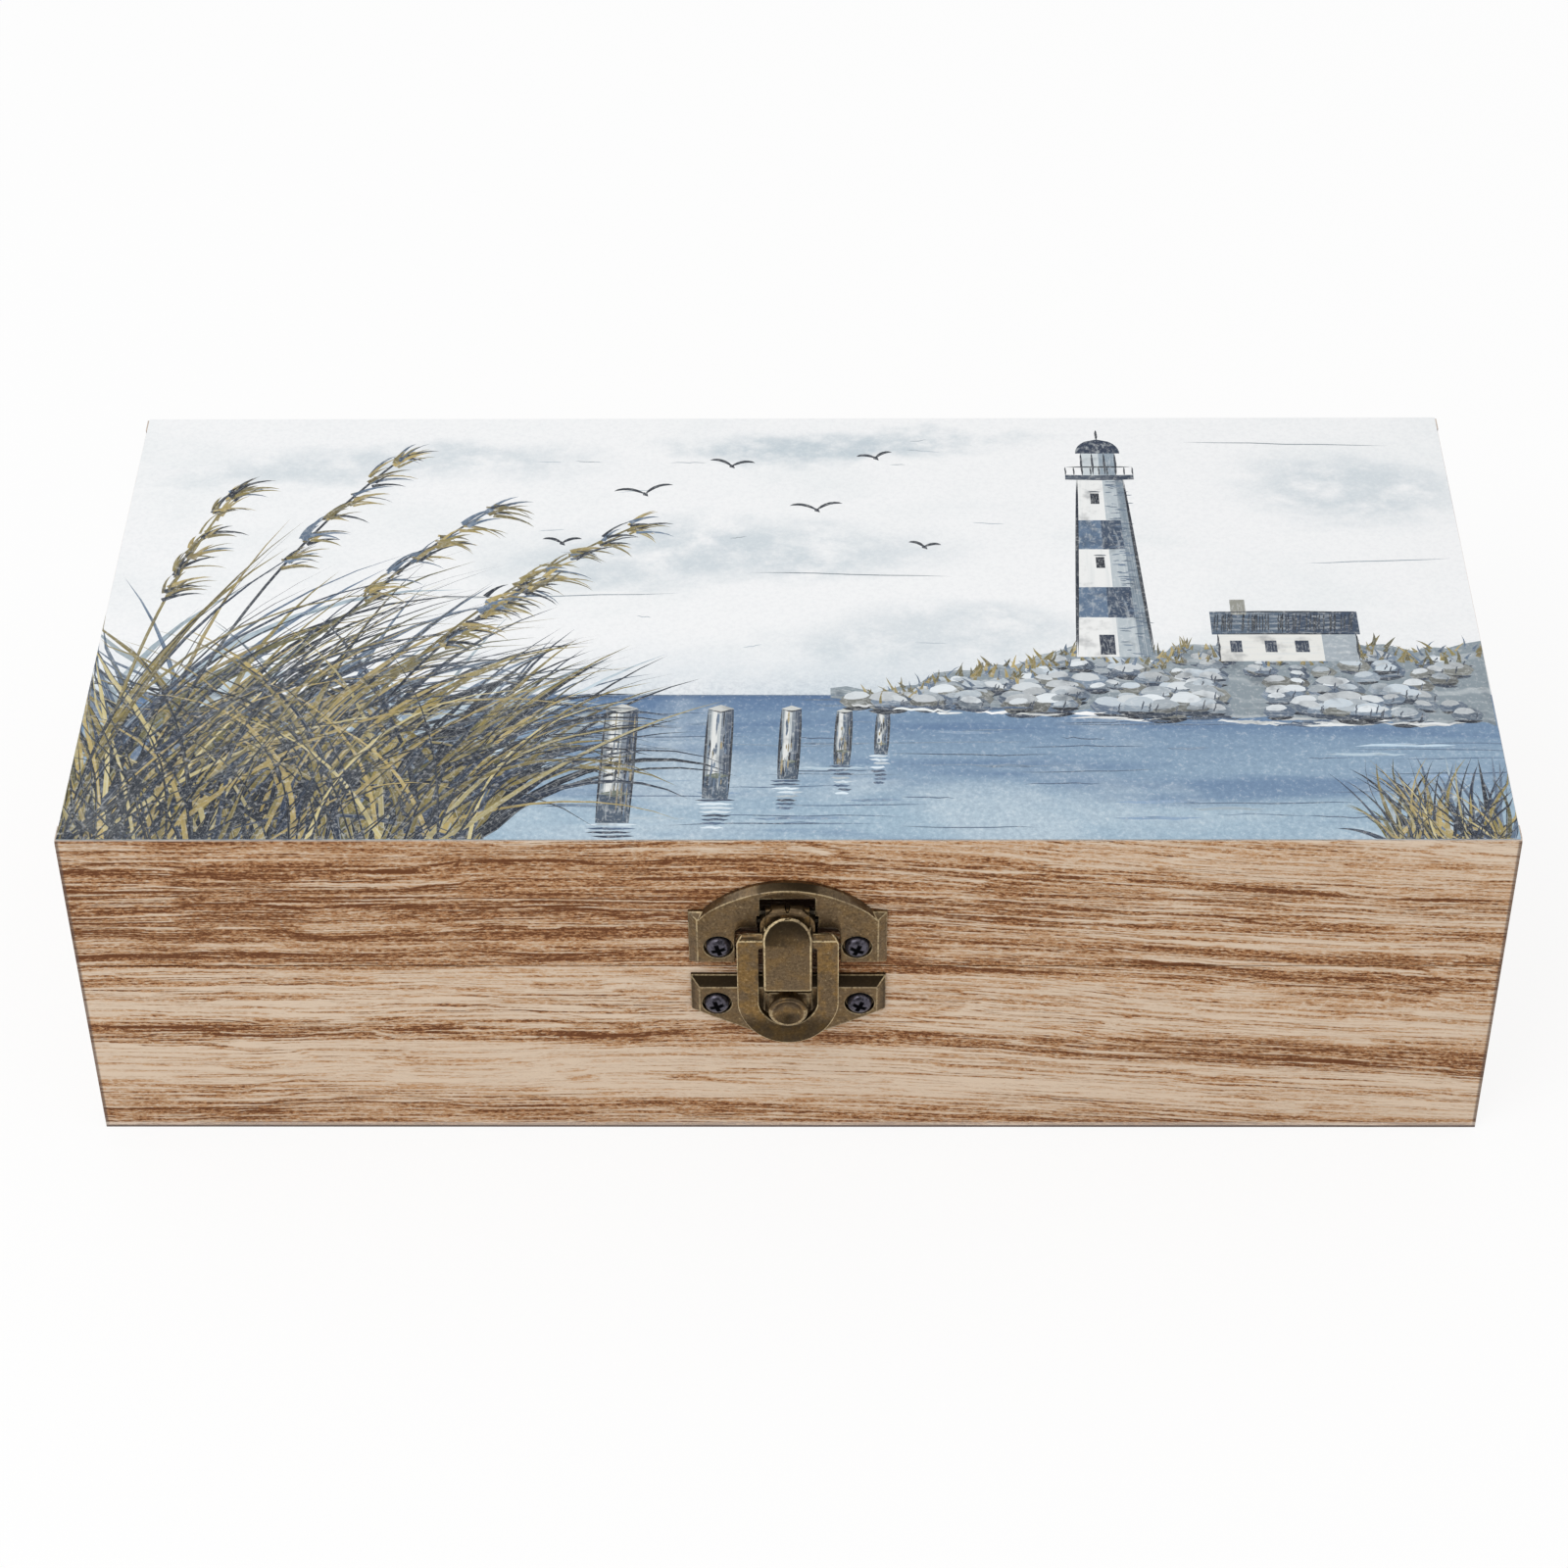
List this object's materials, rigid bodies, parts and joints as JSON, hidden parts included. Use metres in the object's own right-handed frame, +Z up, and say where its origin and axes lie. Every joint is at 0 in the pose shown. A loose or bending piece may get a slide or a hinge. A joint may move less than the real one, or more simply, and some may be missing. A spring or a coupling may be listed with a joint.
{
  "type": "keepsake box",
  "caption": "Wooden keepsake box with a printed hinged lid, stop hinges and an antique-bronze duckbill latch.",
  "frame": {"origin": "middle of the underside of the base", "axes": "+Z up, +X to the right seen from the latch side, -Y out of the front face that carries the latch"},
  "size_m": [0.2, 0.1056, 0.057],
  "materials": {
    "box_wood": "satin",
    "panel_wood": "matt",
    "print": "matt",
    "antique_bronze": "aged",
    "hinge_brass": "satin",
    "dark_steel": "darkened"
  },
  "bodies": {
    "base": {"base_front_board": "box_wood", "base_back_board": "box_wood", "base_left_board": "box_wood", "base_right_board": "box_wood", "base_bottom_panel": "panel_wood", "keeper_plate": "antique_bronze", "keeper_screws": "dark_steel", "hinge_left_base_leaf": "hinge_brass", "hinge_right_base_leaf": "hinge_brass", "hinge_left_pin": "dark_steel", "hinge_right_pin": "dark_steel", "hinge_base_screws": "dark_steel"},
    "lid": {"lid_front_board": "box_wood", "lid_back_board": "box_wood", "lid_left_board": "box_wood", "lid_right_board": "box_wood", "lid_top_panel": "panel_wood", "lid_print": "print", "hinge_left_lid_leaf": "hinge_brass", "hinge_right_lid_leaf": "hinge_brass", "hinge_lid_screws": "dark_steel", "latch_lid_plate": "antique_bronze", "latch_lid_screws": "dark_steel", "latch_pivot_pins": "dark_steel"},
    "lever": {"latch_lever": "antique_bronze", "latch_ring_pin": "dark_steel"},
    "ring": {"latch_ring": "antique_bronze"}
  },
  "joints": [
    {"name": "lid_hinge", "type": "hinge", "parent": "base", "child": "lid", "pos_m": [0, 0.0502, 0.033], "axis": [-1, 0, 0], "range_deg": [0, 100]},
    {"name": "lever_pivot", "type": "hinge", "parent": "lid", "child": "lever", "pos_m": [0, -0.04935, 0.0427], "axis": [-1, 0, 0], "range_deg": [0, 115]},
    {"name": "ring_pivot", "type": "hinge", "parent": "lever", "child": "ring", "pos_m": [0, -0.04975, 0.0446], "axis": [-1, 0, 0], "range_deg": [-101, 0]}
  ],
  "couplings": [
    {"joint": "ring_pivot", "follows": "lever_pivot", "ratio": -0.878}
  ]
}
